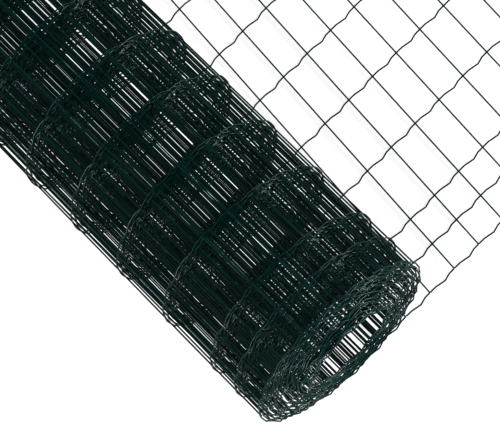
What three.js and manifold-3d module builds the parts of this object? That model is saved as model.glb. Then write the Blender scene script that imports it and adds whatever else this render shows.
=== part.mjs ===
// A roll of PVC-coated welded wire mesh, lying on its side with its outer end run out flat on the ground.
// Millimetres. X runs along the roll, Y the way the loose end lies, Z is up.
import * as THREE from "three";
import { mergeVertices } from "three/addons/utils/BufferGeometryUtils.js";
import Module from "manifold-3d";

// The mesh: line wires run its length, cross wires are welded over them.
const WIRE = 2.2; // coated wire
const WELD_SINK = 0.6; // how far a cross wire is pressed into each line wire
const CELL_LENGTH = 50; // between two cross wires
const CELL_WIDTH = 100; // between two line wires
const EDGE_CELL_WIDTH = 50; // in the closer rows along both edges
const MIDDLE_ROWS = 8;
const EDGE_ROWS = 2; // along each edge

// The crimp of a line wire: one low hook in each cell, its places as shares of the cell's length.
const CRIMP_DEPTH = 3.3;
const CRIMP_RISE = 0.24;
const CRIMP_PEAK = 0.57;
const CRIMP_END = 0.8;

// The roll. Each turn is a line wire thick plus the cross wires inside it, which are pressed into it.
const BORE_RADIUS = 79;
const TURNS = 20;
const TURN_PITCH = 3.83;
const ROLL_FACETS = 44;

// The loose end.
const FIRST_CROSS_WIRE = 46; // from the line on which the roll rests, at the open end
const LOOSE_CELLS = 10; // from that first cross wire to the last
const SKEW = THREE.MathUtils.degToRad(4.3); // the cross wires run askew of the roll's axis
const END_STUB = 2; // of a line wire past the last cross wire
const CLEARANCE = 0.3; // between the loose end and the roll's underside

// Line wires lie at these places from the roll's open end, which is x = 0.
const linePlaces = [0];
function addRows(count, width) {
  for (let row = 0; row < count; row += 1) linePlaces.push(linePlaces.at(-1) - width);
}
addRows(EDGE_ROWS, EDGE_CELL_WIDTH);
addRows(MIDDLE_ROWS, CELL_WIDTH);
addRows(EDGE_ROWS, EDGE_CELL_WIDTH);

const farEdge = linePlaces.at(-1);
const openFace = CRIMP_DEPTH + WIRE / 2; // the crimps of the edge wire stand out past x = 0
const farFace = farEdge - WIRE / 2;
const rollRadius = BORE_RADIUS + TURNS * TURN_PITCH;
const axisHeight = rollRadius * Math.cos(Math.PI / ROLL_FACETS); // the roll rests on one facet
const crossWireBase = WIRE - WELD_SINK;
const looseEndReach = FIRST_CROSS_WIRE + LOOSE_CELLS * CELL_LENGTH;

// How far from the roll's lowest line something of this height clears its underside.
function clearOfRoll(height) {
  const drop = axisHeight - height - CLEARANCE;
  return Math.sqrt(rollRadius ** 2 - drop ** 2);
}

// Where cross wire number k crosses the line wire at x, measured from the roll's lowest line.
function crossing(k, x) {
  return FIRST_CROSS_WIRE + k * CELL_LENGTH - x * Math.tan(SKEW);
}

const wasm = await Module();
wasm.setup();

function solidOf(geometry) {
  const bare = geometry.clone();
  bare.deleteAttribute("normal");
  bare.deleteAttribute("uv");
  const merged = mergeVertices(bare, 1e-4);
  return new wasm.Manifold(
    new wasm.Mesh({
      numProp: 3,
      vertProperties: new Float32Array(merged.attributes.position.array),
      triVerts: new Uint32Array(merged.index.array),
    }),
  );
}

function geometryOf(solid) {
  const mesh = solid.getMesh();
  const geometry = new THREE.BufferGeometry();
  geometry.setAttribute("position", new THREE.BufferAttribute(mesh.vertProperties, 3));
  geometry.setIndex(new THREE.BufferAttribute(mesh.triVerts, 1));
  geometry.computeVertexNormals();
  return geometry;
}

// A square bar whose plan is the given outline, standing on height base.
function bar(outline, base) {
  const shape = new THREE.Shape(outline);
  const geometry = new THREE.ExtrudeGeometry(shape, { depth: WIRE, bevelEnabled: false });
  return geometry.translate(0, 0, base);
}

// The middle line of a line wire from the roll to its end, with the hook of each cell.
function crimpedLine(x) {
  const start = clearOfRoll(WIRE);
  const points = [new THREE.Vector2(x, start)];
  const firstCell = Math.floor((start - crossing(0, x)) / CELL_LENGTH);
  for (let cell = firstCell; cell < LOOSE_CELLS; cell += 1) {
    const from = crossing(cell, x);
    const hook = [
      [CRIMP_RISE, 0],
      [CRIMP_PEAK, CRIMP_DEPTH],
      [CRIMP_END, 0],
    ];
    for (const [share, side] of hook) {
      const y = from + share * CELL_LENGTH;
      if (cell > firstCell || crossing(cell, x) > start) points.push(new THREE.Vector2(x + side, y));
    }
  }
  points.push(new THREE.Vector2(x, crossing(LOOSE_CELLS, x) + END_STUB));
  return points;
}

function lineWire(x) {
  const middle = crimpedLine(x);
  const right = middle.map((p) => new THREE.Vector2(p.x + WIRE / 2, p.y));
  const left = middle.map((p) => new THREE.Vector2(p.x - WIRE / 2, p.y));
  return bar([...right, ...left.reverse()], 0);
}

// A cross wire starts at the open end's edge wire, or where it comes out from under the roll.
function crossWire(k) {
  const clear = clearOfRoll(crossWireBase + WIRE) + WIRE / 2;
  const hidden = Math.max(0, clear - crossing(k, 0)) / Math.tan(SKEW);
  const start = Math.min(WIRE / 2, -hidden);
  const end = farEdge - WIRE / 2;
  const side = WIRE / 2;
  return bar(
    [
      new THREE.Vector2(start, crossing(k, start) - side),
      new THREE.Vector2(start, crossing(k, start) + side),
      new THREE.Vector2(end, crossing(k, end) + side),
      new THREE.Vector2(end, crossing(k, end) - side),
    ],
    crossWireBase,
  );
}

function looseEndGeometry() {
  let whole = null;
  const add = (geometry) => {
    const solid = solidOf(geometry);
    whole = whole ? whole.add(solid) : solid;
  };
  linePlaces.forEach((x) => add(lineWire(x)));
  const clear = clearOfRoll(crossWireBase + WIRE) + WIRE / 2;
  const firstWire = Math.ceil((clear - crossing(0, farEdge + EDGE_CELL_WIDTH)) / CELL_LENGTH);
  for (let k = firstWire; k <= LOOSE_CELLS; k += 1) add(crossWire(k));
  return geometryOf(whole);
}

// The roll's outer side, from its far end to its open end. The line wires stand out past the
// cross wires, each as a band as wide as its crimps reach.
function outerSide(from, to) {
  const side = [];
  for (const x of linePlaces.toReversed()) {
    const start = Math.max(from, x - WIRE / 2);
    const end = Math.min(to, x + CRIMP_DEPTH + WIRE / 2);
    side.push(new THREE.Vector2(rollRadius - crossWireBase, start));
    side.push(new THREE.Vector2(rollRadius, start));
    side.push(new THREE.Vector2(rollRadius, end));
    side.push(new THREE.Vector2(rollRadius - crossWireBase, end));
  }
  return side.slice(1, -1);
}

// The roll's section: a thick wall with one ridge for each turn on both of its ends.
function rollGeometry() {
  const groove = CRIMP_DEPTH;
  const innerSides = [];
  for (let turn = 0; turn < TURNS; turn += 1) innerSides.push(BORE_RADIUS + turn * TURN_PITCH);
  const profile = [];
  for (const inner of innerSides) {
    profile.push(new THREE.Vector2(inner, farFace + groove));
    profile.push(new THREE.Vector2(inner + TURN_PITCH / 2, farFace));
  }
  profile.push(...outerSide(farFace + groove, openFace - groove));
  for (const inner of innerSides.reverse()) {
    profile.push(new THREE.Vector2(inner + TURN_PITCH / 2, openFace));
    profile.push(new THREE.Vector2(inner, openFace - groove));
  }
  profile.push(profile[0].clone());
  const lathe = new THREE.LatheGeometry(profile, ROLL_FACETS, Math.PI / ROLL_FACETS);
  return geometryOf(solidOf(lathe));
}

const coatedWire = new THREE.MeshStandardMaterial({
  color: 0x1f3a33,
  roughness: 0.45,
  metalness: 0,
});

const rolledMesh = new THREE.Mesh(rollGeometry(), coatedWire);
rolledMesh.name = "rolled_mesh";
rolledMesh.rotation.z = -Math.PI / 2; // the turned solid's axis is laid along X
rolledMesh.position.z = axisHeight;

const unrolledEnd = new THREE.Mesh(looseEndGeometry(), coatedWire);
unrolledEnd.name = "unrolled_end";

// The origin is in the middle of the part's footprint, on the ground.
const nearSide = -rollRadius * Math.cos(Math.PI / ROLL_FACETS);
const farSide = crossing(LOOSE_CELLS, farEdge) + END_STUB;
const part = new THREE.Group();
part.add(rolledMesh, unrolledEnd);
part.position.set(-(openFace + farFace) / 2, -(nearSide + farSide) / 2, 0);

export default part;
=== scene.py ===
"""A roll of green coated welded wire mesh, lying on its side with its outer end run out flat.

Every wire is made: line wires run the mesh's whole length as spirals, with cross wires welded inside.
Metres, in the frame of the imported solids: X along the roll, Y the way the loose end lies, Z up.
"""
import math

import bpy
from mathutils import Matrix, Vector


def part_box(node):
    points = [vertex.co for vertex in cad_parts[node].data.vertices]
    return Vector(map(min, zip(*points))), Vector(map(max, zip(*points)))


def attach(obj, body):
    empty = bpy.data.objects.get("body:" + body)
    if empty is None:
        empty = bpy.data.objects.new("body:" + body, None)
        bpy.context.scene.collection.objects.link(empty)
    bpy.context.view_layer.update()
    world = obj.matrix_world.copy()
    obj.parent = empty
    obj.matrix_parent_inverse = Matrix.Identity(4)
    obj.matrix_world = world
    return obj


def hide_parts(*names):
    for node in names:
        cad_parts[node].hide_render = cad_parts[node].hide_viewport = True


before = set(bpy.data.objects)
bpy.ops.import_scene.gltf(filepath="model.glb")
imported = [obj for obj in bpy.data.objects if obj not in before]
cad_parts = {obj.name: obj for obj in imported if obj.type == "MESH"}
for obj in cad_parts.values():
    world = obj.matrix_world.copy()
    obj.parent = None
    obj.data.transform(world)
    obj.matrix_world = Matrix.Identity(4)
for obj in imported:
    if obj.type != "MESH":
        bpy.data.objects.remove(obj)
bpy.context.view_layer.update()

# The mesh, in metres.
WIRE = 0.0022  # over its coat
CORE = 0.0018  # the steel inside
WELD_SINK = 0.0006  # how far a cross wire is pressed into each line wire
CROSS_DEPTH = WIRE - WELD_SINK  # of a cross wire's middle inside the line wires' middles
BEAD_RADIUS = WIRE * 0.72  # of the coat's thickening at a weld
CELL_LENGTH = 0.050
CELL_WIDTH = 0.100
EDGE_CELL_WIDTH = 0.050
EDGE_ROWS = 2
MIDDLE_ROWS = 8
LINE_WIRES = 2 * EDGE_ROWS + MIDDLE_ROWS + 1
CRIMP_DEPTH = 0.0033
CRIMP_RISE = 0.24  # where the crimp starts, peaks and ends, as shares of its cell
CRIMP_PEAK = 0.57
CRIMP_END = 0.80
FIRST_CROSS_WIRE = 0.044  # from the roll's lowest line, at the open end
LOOSE_CELLS = 10
ROLLED_CELLS = 290
SKEW = math.radians(4.3)  # of the loose end's cross wires
END_STUB = 0.002  # of a line wire past the last cross wires
TURN_PITCH = 0.0038006
FULL_TURN = 2 * math.pi

# The turns inside are looser: they lie on each other below and have gaps above.
INNER_CELLS = 160  # from the inner end to where they start to come loose
INNER_RISE = 132  # cells over which they come loose
INNER_SAG = 0.009
INNER_TILT = 0.014  # how far their top leans out of the open end
RISE_ADVANCE = 2.129  # radians by which the smaller turns get ahead, over the rise
RISE_POWER = 3.5
CELL_ADVANCE = 0.072  # and for each cell after it

# How far the innermost turn has moved from the outermost one's middle.
WALL = 1 / 13  # metres from the one to the other
INNER_OUT = 0.004  # out of the open end
INNER_ALONG = 0.0057  # towards the loose end
INNER_DOWN = 0.002

# Nothing in the roll is quite true. Waves are given as size, period in cells and phase.
FIRST_TURN = 20  # cells over which the roll's unevenness sets in
DRIFT_START = 6  # cells over which the cross wires' does
FOOT_OUT = 0.004  # how far the bottom of a turn is past its top, out of the open end
CELL_FLATNESS = 0.0009  # how far a turn is inside a true circle halfway between cross wires
DRIFT = [
    (0.0013, 197.0, 4.0),
    (0.0088, 51.9, 3.16),
    (0.0045, 31.8, 0.68),
    (0.0009, 22.6, 0.43),
]
SHEAR = [(0.0015, 11.3, 0.7), (0.001, 5.9, 2.0)]
SLIP = [(0.0005, 17.3, 1.0), (0.0004, 7.1, 0.3)]
DENTS = [(0.0006, 4.7, 1.3), (0.0004, 2.9, 0.2)]

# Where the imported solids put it.
roll_low, roll_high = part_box("rolled_mesh")
OPEN_EDGE = roll_high.x - CRIMP_DEPTH - WIRE / 2  # the edge wire at the open end
AXIS_Y = (roll_low.y + roll_high.y) / 2
AXIS_Z = (roll_low.z + roll_high.z) / 2
OUTER_TURN = AXIS_Z - WIRE / 2  # radius of the line wires where the outermost turn starts

# How wires are divided.
CELL_STEPS = 7
SIDES = 8
CORE_SIDES = 12
CORE_THICKNESS = 0.0003

# The camera, in metres and degrees, and the photograph's frame.
PHOTO_WIDTH = 500
CAMERA_AZIMUTH = -3.61
CAMERA_ELEVATION = 70.28
CAMERA_ROLL = -41.48
CAMERA_DISTANCE = 3.8228
CAMERA_FOCAL_PIXELS = 2565.86
CAMERA_TARGET = Vector((roll_high.x - 0.28108, AXIS_Y + 0.03573, 0.0))
SENSOR_WIDTH = 36.0


class Term:
    """An output of a node, on which arithmetic adds Math nodes."""

    def __init__(self, nodes, socket):
        self.nodes = nodes
        self.socket = socket

    def __add__(self, other):
        return self.nodes.math("ADD", self, other)

    def __radd__(self, other):
        return self.nodes.math("ADD", other, self)

    def __sub__(self, other):
        return self.nodes.math("SUBTRACT", self, other)

    def __rsub__(self, other):
        return self.nodes.math("SUBTRACT", other, self)

    def __mul__(self, other):
        return self.nodes.math("MULTIPLY", self, other)

    def __rmul__(self, other):
        return self.nodes.math("MULTIPLY", other, self)

    def __truediv__(self, other):
        return self.nodes.math("DIVIDE", self, other)

    def clamped(self, low, high):
        return self.nodes.math("MINIMUM", self.nodes.math("MAXIMUM", self, low), high)


class Nodes:
    """Adds nodes to a tree by type, settings and socket values."""

    def __init__(self, tree):
        self.tree = tree

    def add(self, kind, settings=None, sockets=None, output=0):
        node = self.tree.nodes.new(kind)
        for name, value in (settings or {}).items():
            setattr(node, name, value)
        for key, value in (sockets or {}).items():
            if isinstance(value, Term):
                self.tree.links.new(value.socket, node.inputs[key])
            else:
                node.inputs[key].default_value = value
        return Term(self, node.outputs[output] if node.outputs else None)

    def math(self, operation, *terms):
        return self.add("ShaderNodeMath", {"operation": operation}, dict(enumerate(terms)))

    def mix(self, factor, first, second):
        sockets = {0: factor, 6: first, 7: second}
        return self.add("ShaderNodeMix", {"data_type": "RGBA"}, sockets, output=2)

    def vector(self, x, y, z):
        return self.add("ShaderNodeCombineXYZ", None, {0: x, 1: y, 2: z})


class GeometryTree(Nodes):
    """A Geometry Nodes tree with named number inputs, made into a plain mesh by build."""

    def __init__(self, name):
        tree = bpy.data.node_groups.new(name, "GeometryNodeTree")
        super().__init__(tree)
        tree.interface.new_socket("Geometry", in_out="OUTPUT", socket_type="NodeSocketGeometry")
        self.given = tree.nodes.new("NodeGroupInput")
        self.result = tree.nodes.new("NodeGroupOutput")

    def size(self, name, whole=False):
        kind = "NodeSocketInt" if whole else "NodeSocketFloat"
        self.tree.interface.new_socket(name, in_out="INPUT", socket_type=kind)
        return Term(self, self.given.outputs[name])

    def finish(self, geometry, material):
        real = self.add("GeometryNodeRealizeInstances", None, {0: geometry})
        coated = self.add("GeometryNodeSetMaterial", None, {0: real, "Material": material})
        self.tree.links.new(coated.socket, self.result.inputs[0])

    def build(self, name, sizes):
        carrier = bpy.data.objects.new(name, bpy.data.meshes.new(name))
        bpy.context.scene.collection.objects.link(carrier)
        modifier = carrier.modifiers.new("shape", "NODES")
        modifier.node_group = self.tree
        for item in self.tree.interface.items_tree:
            if item.item_type == "SOCKET" and item.in_out == "INPUT":
                modifier[item.identifier] = sizes[item.name]
        bpy.context.view_layer.update()
        seen = carrier.evaluated_get(bpy.context.evaluated_depsgraph_get())
        mesh = bpy.data.meshes.new_from_object(seen)
        carrier.modifiers.clear()
        carrier.data = mesh
        mesh.name = name
        return carrier


MESH_SIZES = {
    "Cell length": CELL_LENGTH,
    "Cell width": CELL_WIDTH,
    "Edge cell width": EDGE_CELL_WIDTH,
    "First cross wire": FIRST_CROSS_WIRE,
    "Skew": math.tan(SKEW),
    "Outer turn": OUTER_TURN,
    "Turn pitch": TURN_PITCH,
    "Rolled cells": ROLLED_CELLS,
}


class MeshTree(GeometryTree):
    """A tree that knows where each point of the mesh lies.

    A place on the mesh is a cell number along it, which is whole at a cross wire and
    negative in the roll, and a line wire number across it.
    """

    def __init__(self, name):
        super().__init__(name)
        self.cell_length = self.size("Cell length")
        self.cell_width = self.size("Cell width")
        self.edge_cell_width = self.size("Edge cell width")
        self.first_cross_wire = self.size("First cross wire")
        self.skew = self.size("Skew")
        self.outer_turn = self.size("Outer turn")
        self.turn_pitch = self.size("Turn pitch")
        self.rolled_cells = self.size("Rolled cells")

    def across(self, wire):
        """Distance of a line wire from the edge at the open end."""
        near = wire.clamped(0, EDGE_ROWS)
        middle = (wire - EDGE_ROWS).clamped(0, MIDDLE_ROWS)
        far = (wire - EDGE_ROWS - MIDDLE_ROWS).clamped(0, EDGE_ROWS)
        return (near + far) * self.edge_cell_width + middle * self.cell_width

    def wave(self, cell, period, phase):
        return self.math("SINE", cell * (FULL_TURN / period) + phase)

    def waves(self, cell, waves):
        """All the given waves together, at a cell's place along the mesh."""
        return sum(self.wave(cell, period, phase) * size for size, period, phase in waves)

    def past_ends(self, number, last, length):
        """How far a line of points numbered from 0 to last is lengthened at its two ends."""
        near = (1 - number).clamped(0, 1)
        far = (number - (last - 1)).clamped(0, 1)
        return (far - near) * length

    def into_roll(self, cell):
        """0 in the loose end, and 1 from one turn into the roll on."""
        return (cell / -FIRST_TURN).clamped(0, 1)

    def shear(self, cell):
        rolled = self.into_roll(cell)
        return self.skew * (1 - rolled) + rolled * self.waves(cell, SHEAR)

    def inner_end(self, cell):
        """0, rising to 1 where the innermost turns are loosest."""
        return ((0 - cell - self.rolled_cells + INNER_CELLS) / INNER_RISE).clamped(0, 1)

    def advance(self, cell):
        """The angle by which the loose turns are ahead, as they are smaller."""
        loose = self.inner_end(cell)
        past = self.math("MAXIMUM", 0 - cell - self.rolled_cells + INNER_CELLS - INNER_RISE, 0.0)
        return self.math("POWER", loose, RISE_POWER) * RISE_ADVANCE + past * CELL_ADVANCE

    def slip(self, cell):
        """How far the turns have slid along the roll."""
        return self.into_roll(cell) * self.waves(cell, SLIP)

    def spacing(self, cell):
        """How far a cross wire is off its even place along the mesh, nothing in the loose end."""
        return self.waves(cell, DRIFT) * (cell / -DRIFT_START).clamped(0, 1)

    def unwound(self, cell, across):
        """Distance along the mesh from the roll's lowest line, into the roll."""
        along = self.first_cross_wire + cell * self.cell_length + self.spacing(cell)
        return 0 - along - across * self.shear(cell)

    def place(self, cell, across, depth, side=0.0):
        """The point's place and its angle round the roll, depth being towards the roll's axis."""
        unwound = self.unwound(cell, across)
        rolled = self.math("MAXIMUM", unwound, 0.0)
        flat = self.math("MINIMUM", unwound, 0.0)
        square = self.outer_turn * self.outer_turn - rolled * self.turn_pitch / math.pi
        radius = self.math("SQRT", square)
        inward = (self.outer_turn - radius) / WALL
        loose = self.inner_end(cell)
        sag = loose * loose * INNER_SAG
        turned = (self.outer_turn - radius) * FULL_TURN / self.turn_pitch
        angle = turned + self.advance(cell)
        bend = (self.flattening(cell) + self.waves(cell, DENTS)) * self.into_roll(cell)
        reach = radius - depth - sag - bend
        foot = (self.math("COSINE", angle) + 1) * (FOOT_OUT / 2) * self.into_roll(cell)
        top = (1 - self.math("COSINE", angle)) * (INNER_TILT / 2) * loose * loose
        x = OPEN_EDGE - across + side + self.slip(cell) + foot + top + inward * INNER_OUT
        y = AXIS_Y - reach * self.math("SINE", angle) - flat + inward * INNER_ALONG
        z = AXIS_Z - reach * self.math("COSINE", angle) - inward * INNER_DOWN - sag
        return self.vector(x, y, z), angle

    def flattening(self, cell):
        """Each turn runs straighter between two cross wires than a true circle."""
        share = self.math("FLOORED_MODULO", cell, 1.0)
        return share * (1 - share) * 4 * CELL_FLATNESS

    def path(self, count, copies):
        """Copies of a line of points, with each point's number and its copy's number."""
        line = self.add("GeometryNodeMeshLine", None, {"Count": count})
        curve = self.add("GeometryNodeMeshToCurve", None, {0: line})
        settings = {"domain": "SPLINE"}
        many = self.add("GeometryNodeDuplicateElements", settings, {0: curve, "Amount": copies})
        copy = Term(self, many.socket.node.outputs["Duplicate Index"])
        point = self.add("GeometryNodeSplineParameter", None, None, output="Index")
        return many, point, copy

    def tube(self, curve, diameter):
        ring = {"Resolution": SIDES, "Radius": diameter / 2}
        profile = self.add("GeometryNodeCurvePrimitiveCircle", {"mode": "RADIUS"}, ring)
        sockets = {"Curve": curve, "Profile Curve": profile, "Fill Caps": True}
        return self.add("GeometryNodeCurveToMesh", None, sockets)

    def discs(self, points, turn):
        """A flat disc of the core's size at each point, just proud of the coat's cut."""
        sizes = {"Vertices": CORE_SIDES, "Radius": CORE / 2, "Depth": CORE_THICKNESS}
        disc = self.add("GeometryNodeMeshCylinder", None, sizes)
        sockets = {0: points, "Instance": disc, "Rotation": turn}
        return self.add("GeometryNodeInstanceOnPoints", None, sockets)


def crimp(tree, step):
    """The share of its cell and the sideways hook of a line wire's step within a cell.

    Two steps are straight, two rise, two fall and the last is straight again.
    """
    straight = step.clamped(0, 2) * (CRIMP_RISE / 2)
    rise = (step - 2).clamped(0, 2) * ((CRIMP_PEAK - CRIMP_RISE) / 2)
    fall = (step - 4).clamped(0, 2) * ((CRIMP_END - CRIMP_PEAK) / 2)
    share = straight + rise + fall
    off_peak = tree.math("ABSOLUTE", step - 4) / 2
    return share, (1 - off_peak).clamped(0, 1) * CRIMP_DEPTH


def line_wires(name, first, count, material):
    """Some of the wires that run the whole length of the mesh, as crimped spirals."""
    tree = MeshTree("line wires")
    first_wire = tree.size("First wire")
    wires = tree.size("Wires", whole=True)
    steps = (ROLLED_CELLS + LOOSE_CELLS) * CELL_STEPS + 1
    curve, point, copy = tree.path(steps, wires)
    whole_cells = tree.math("FLOOR", point / CELL_STEPS)
    share, side = crimp(tree, point - whole_cells * CELL_STEPS)
    stub = tree.past_ends(point, steps - 1, END_STUB / CELL_LENGTH)
    cell = whole_cells + share - tree.rolled_cells + stub
    place, _ = tree.place(cell, tree.across(first_wire + copy), 0.0, side)
    curve = tree.add("GeometryNodeSetPosition", None, {0: curve, "Position": place})
    tree.finish(tree.tube(curve, WIRE), material)
    return tree.build(name, {**MESH_SIZES, "First wire": first, "Wires": count})


def cross_wires(name, material):
    """The straight wires, welded inside the line wires from edge to edge."""
    tree = MeshTree("cross wires")
    curve, point, copy = tree.path(LINE_WIRES, ROLLED_CELLS + LOOSE_CELLS + 1)
    cell = copy - tree.rolled_cells
    across = tree.across(point) + tree.past_ends(point, LINE_WIRES - 1, WIRE / 2)
    place, _ = tree.place(cell, across, CROSS_DEPTH)
    curve = tree.add("GeometryNodeSetPosition", None, {0: curve, "Position": place})
    tree.finish(tree.tube(curve, WIRE), material)
    return tree.build(name, MESH_SIZES)


def welds(name, material):
    """The coat's thickening at each crossing."""
    tree = MeshTree("welds")
    crossings = LINE_WIRES * (ROLLED_CELLS + LOOSE_CELLS + 1)
    points = tree.add("GeometryNodePoints", None, {"Count": crossings})
    number = tree.add("GeometryNodeInputIndex")
    row = tree.math("FLOOR", (number + 0.5) / LINE_WIRES)
    across = tree.across(number - row * LINE_WIRES)
    place, angle = tree.place(row - tree.rolled_cells, across, CROSS_DEPTH / 2)
    points = tree.add("GeometryNodeSetPosition", None, {0: points, "Position": place})
    bead = tree.add("GeometryNodeMeshIcoSphere", None, {"Radius": BEAD_RADIUS, "Subdivisions": 1})
    sockets = {0: points, "Instance": bead, "Rotation": tree.vector(angle, 0.0, 0.0)}
    beads = tree.add("GeometryNodeInstanceOnPoints", None, sockets)
    tree.finish(beads, material)
    return tree.build(name, MESH_SIZES)


def cross_wire_cores(name, material):
    """The steel core that shows where both ends of each cross wire are cut."""
    tree = MeshTree("cross wire cores")
    count = 2 * (ROLLED_CELLS + LOOSE_CELLS + 1)
    points = tree.add("GeometryNodePoints", None, {"Count": count})
    number = tree.add("GeometryNodeInputIndex")
    row = tree.math("FLOOR", (number + 0.5) / 2)
    wire = (number - row * 2) * (LINE_WIRES - 1)
    across = tree.across(wire) + tree.past_ends(wire, LINE_WIRES - 1, WIRE / 2)
    place, _ = tree.place(row - tree.rolled_cells, across, CROSS_DEPTH)
    points = tree.add("GeometryNodeSetPosition", None, {0: points, "Position": place})
    turn = tree.vector(0.0, math.pi / 2, 0.0)
    tree.finish(tree.discs(points, turn), material)
    return tree.build(name, MESH_SIZES)


def line_wire_cores(name, material):
    """The steel core that shows where both ends of each line wire are cut."""
    tree = MeshTree("line wire cores")
    points = tree.add("GeometryNodePoints", None, {"Count": 2 * LINE_WIRES})
    number = tree.add("GeometryNodeInputIndex")
    wire = tree.math("FLOOR", (number + 0.5) / 2)
    outer = number - wire * 2
    stub = (outer * 2 - 1) * (END_STUB / CELL_LENGTH)
    cell = outer * (tree.rolled_cells + LOOSE_CELLS) - tree.rolled_cells + stub
    place, angle = tree.place(cell, tree.across(wire), 0.0)
    points = tree.add("GeometryNodeSetPosition", None, {0: points, "Position": place})
    turn = tree.vector(math.pi / 2 - angle, 0.0, 0.0)
    tree.finish(tree.discs(points, turn), material)
    return tree.build(name, MESH_SIZES)


def green_coat():
    material = bpy.data.materials.new("green_coat")
    material.use_nodes = True
    tree = material.node_tree
    tree.nodes.clear()
    nodes = Nodes(tree)
    place = nodes.add("ShaderNodeTexCoord", output="Object")
    tone = nodes.add("ShaderNodeTexNoise", None, {"Vector": place, "Scale": 45.0, "Detail": 3.0})
    grain = nodes.add("ShaderNodeTexNoise", None, {"Vector": place, "Scale": 900.0, "Detail": 2.0})
    darkest = (0.0003, 0.0066, 0.0060, 1.0)
    lightest = (0.0006, 0.0130, 0.0120, 1.0)
    colour = nodes.mix(tone, darkest, lightest)
    bump = nodes.add(
        "ShaderNodeBump", None, {"Strength": 0.25, "Distance": 0.0002, "Height": grain}
    )
    sockets = {
        "Base Color": colour,
        "Roughness": 0.24 + grain * 0.14,
        "IOR": 1.5,
        "Specular IOR Level": 0.10,
        "Normal": bump,
    }
    coat = nodes.add("ShaderNodeBsdfPrincipled", None, sockets)
    nodes.add("ShaderNodeOutputMaterial", None, {"Surface": coat})
    return material


def cut_steel():
    material = bpy.data.materials.new("cut_steel")
    material.use_nodes = True
    shader = material.node_tree.nodes["Principled BSDF"]
    shader.inputs["Base Color"].default_value = (0.42, 0.43, 0.44, 1.0)
    shader.inputs["Metallic"].default_value = 0.9
    shader.inputs["Roughness"].default_value = 0.42
    return material


def place_camera():
    """The photograph's view: from above the open end, with the frame turned about the lens."""
    azimuth = math.radians(CAMERA_AZIMUTH)
    elevation = math.radians(CAMERA_ELEVATION)
    roll = math.radians(CAMERA_ROLL)
    level = math.cos(elevation)
    back = Vector((level * math.cos(azimuth), level * math.sin(azimuth), math.sin(elevation)))
    side = Vector((0.0, 0.0, 1.0)).cross(back).normalized()
    up = back.cross(side)
    turned_side = side * math.cos(roll) + up * math.sin(roll)
    turned_up = up * math.cos(roll) - side * math.sin(roll)
    turn = Matrix((turned_side, turned_up, back)).transposed().to_4x4()
    data = bpy.data.cameras.new("camera")
    data.sensor_width = SENSOR_WIDTH
    data.lens = CAMERA_FOCAL_PIXELS * SENSOR_WIDTH / PHOTO_WIDTH
    camera = bpy.data.objects.new("camera", data)
    camera.matrix_world = Matrix.Translation(CAMERA_TARGET + back * CAMERA_DISTANCE) @ turn
    bpy.context.scene.collection.objects.link(camera)
    bpy.context.scene.camera = camera


def soft_light(name, azimuth, elevation, strength, spread):
    """A distant soft light from the given side, all angles in degrees."""
    data = bpy.data.lights.new(name, "SUN")
    data.energy = strength
    data.angle = math.radians(spread)
    level = math.cos(math.radians(elevation))
    turn = math.radians(azimuth)
    back = (level * math.cos(turn), level * math.sin(turn), math.sin(math.radians(elevation)))
    light = bpy.data.objects.new(name, data)
    light.matrix_world = Vector(back).to_track_quat("Z", "Y").to_matrix().to_4x4()
    bpy.context.scene.collection.objects.link(light)


def end_light(name, place, target, power, cone):
    """A narrow light that shines into the open end."""
    data = bpy.data.lights.new(name, "SPOT")
    data.energy = power
    data.color = (1.0, 0.93, 1.0)
    data.spot_size = math.radians(cone)
    data.spot_blend = 0.6
    data.shadow_soft_size = 0.04
    light = bpy.data.objects.new(name, data)
    aim = (Vector(place) - Vector(target)).to_track_quat("Z", "Y")
    light.matrix_world = Matrix.Translation(place) @ aim.to_matrix().to_4x4()
    bpy.context.scene.collection.objects.link(light)


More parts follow.
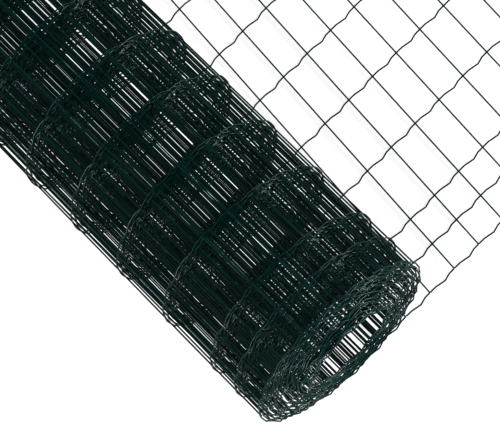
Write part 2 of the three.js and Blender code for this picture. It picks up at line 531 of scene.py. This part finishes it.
def light_studio():
    world = bpy.data.worlds.new("studio")
    world.use_nodes = True
    background = world.node_tree.nodes["Background"]
    background.inputs["Color"].default_value = (0.9, 0.95, 1.0, 1.0)
    background.inputs["Strength"].default_value = 0.03
    bpy.context.scene.world = world
    soft_light("left_light", azimuth=-90, elevation=50, strength=3.8, spread=10)
    soft_light("right_light", azimuth=90, elevation=45, strength=3.8, spread=10)
    soft_light("left_rim_light", azimuth=-72, elevation=14, strength=12.0, spread=14)
    soft_light("right_rim_light", azimuth=62, elevation=15, strength=14.0, spread=14)
    lamp = (roll_high.x + 3.4, AXIS_Y + 0.5, 1.5)
    open_end = (roll_high.x - 0.02, AXIS_Y, AXIS_Z)
    end_light("end_light", lamp, open_end, power=1000.0, cone=4.8)


def pale_floor():
    material = bpy.data.materials.new("pale_floor")
    material.use_nodes = True
    shader = material.node_tree.nodes["Principled BSDF"]
    shader.inputs["Base Color"].default_value = (0.08, 0.08, 0.08, 1.0)
    shader.inputs["Roughness"].default_value = 0.9
    shader.inputs["Emission Color"].default_value = (1.0, 1.0, 1.0, 1.0)
    shader.inputs["Emission Strength"].default_value = 0.84
    half = 6.0
    corners = [(-half, -half, 0), (half, -half, 0), (half, half, 0), (-half, half, 0)]
    mesh = bpy.data.meshes.new("floor")
    mesh.from_pydata(corners, [], [(0, 1, 2, 3)])
    mesh.materials.append(material)
    floor = bpy.data.objects.new("floor", mesh)
    bpy.context.scene.collection.objects.link(floor)


place_camera()
light_studio()
pale_floor()

coat = green_coat()
steel = cut_steel()
pieces = [
    line_wires("line_wires_open_edge", 0, 4, coat),
    line_wires("line_wires_open_half", 4, 3, coat),
    line_wires("line_wires_far_half", 7, 3, coat),
    line_wires("line_wires_far_edge", 10, 3, coat),
    cross_wires("cross_wires", coat),
    welds("welds", coat),
    cross_wire_cores("cross_wire_cores", steel),
    line_wire_cores("line_wire_cores", steel),
]
for piece in pieces:
    piece.data.shade_smooth()
    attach(piece, "root")
    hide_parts("rolled_mesh", "unrolled_end")

view = bpy.context.scene.view_settings
view.view_transform = "Standard"
view.gamma = 0.75
